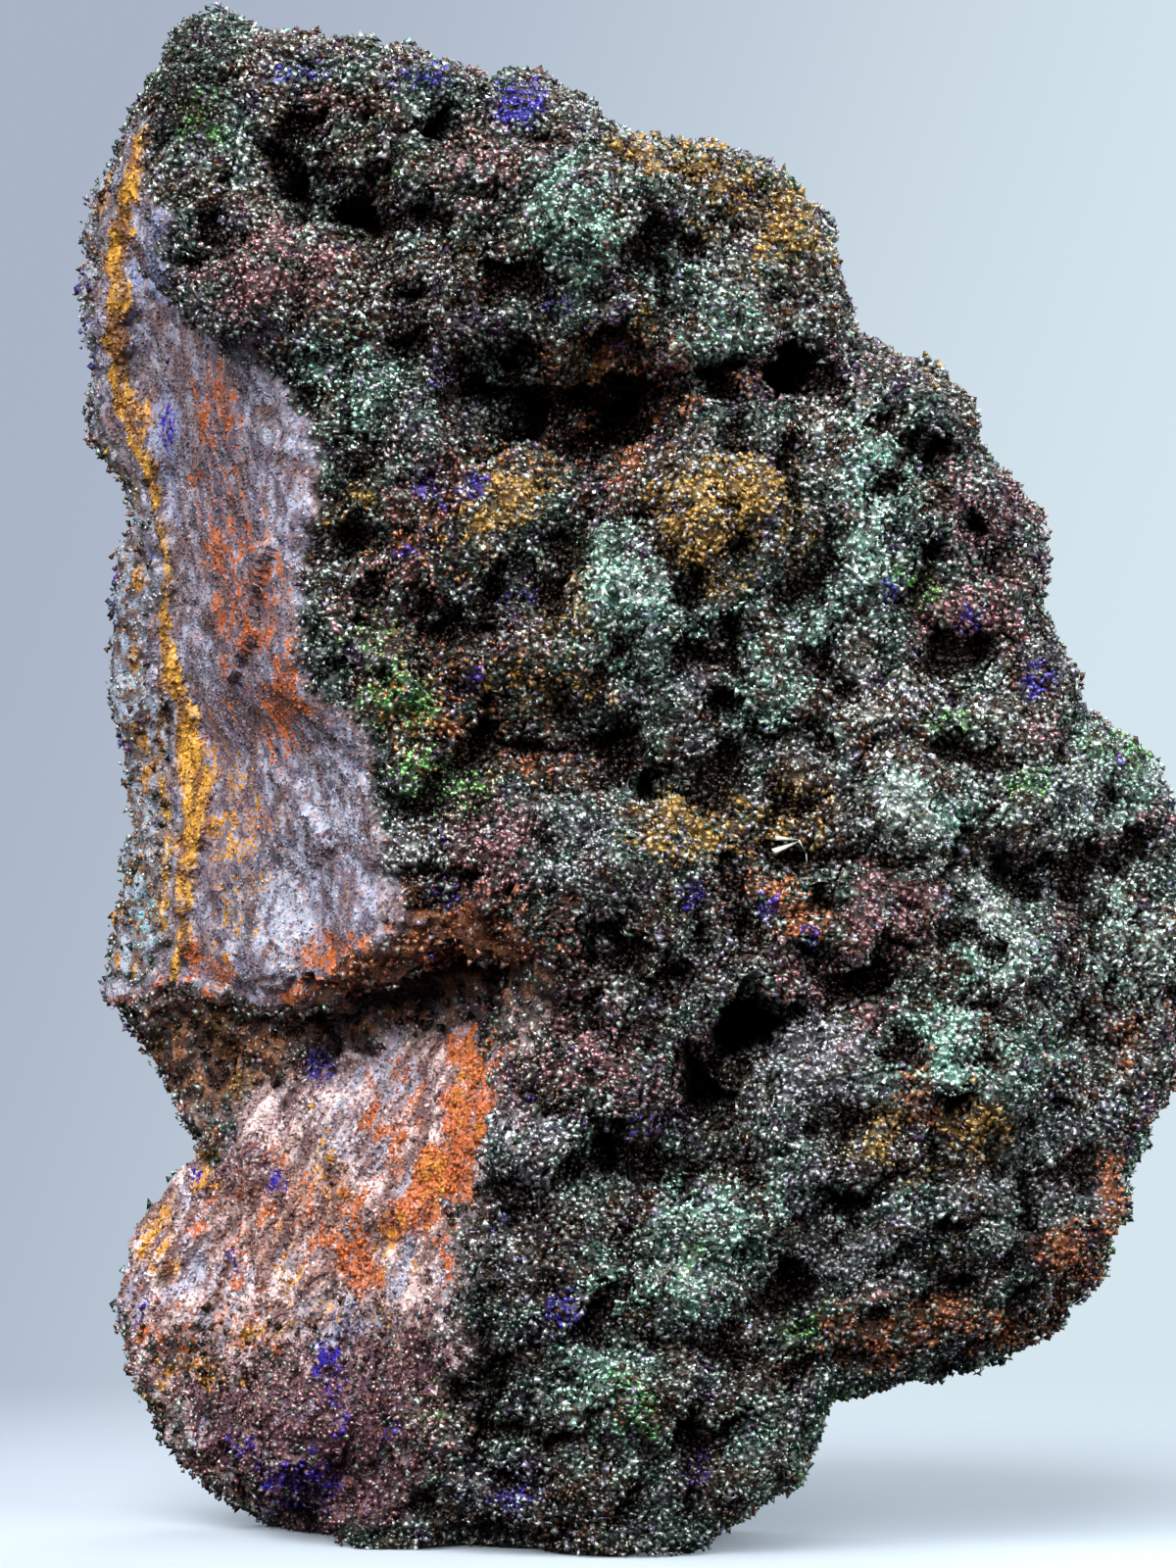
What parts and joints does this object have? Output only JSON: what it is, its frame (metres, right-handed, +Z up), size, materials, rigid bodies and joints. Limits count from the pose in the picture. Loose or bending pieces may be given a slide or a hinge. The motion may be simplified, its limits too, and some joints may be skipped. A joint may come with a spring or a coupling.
{
  "type": "azurite with malachite mineral specimen",
  "caption": "Broken slab of iron-rich rock with a dark druse crust, green and blue patches, broken orange-grey faces at the left, standing upright on a small flat spot.",
  "frame": {"origin": "middle of the bounding box's underside, in the plane of the flat spot it stands on", "axes": "+Z up the stone as it stands, -Y out of the crusted front face, +X to the right seen from the front"},
  "size_m": [0.0254, 0.015, 0.0341],
  "materials": {
    "stone": "glittering crystal crust over rough iron-stained rock"
  },
  "bodies": {
    "root": {"azurite_malachite_stone": "stone"}
  },
  "joints": []
}
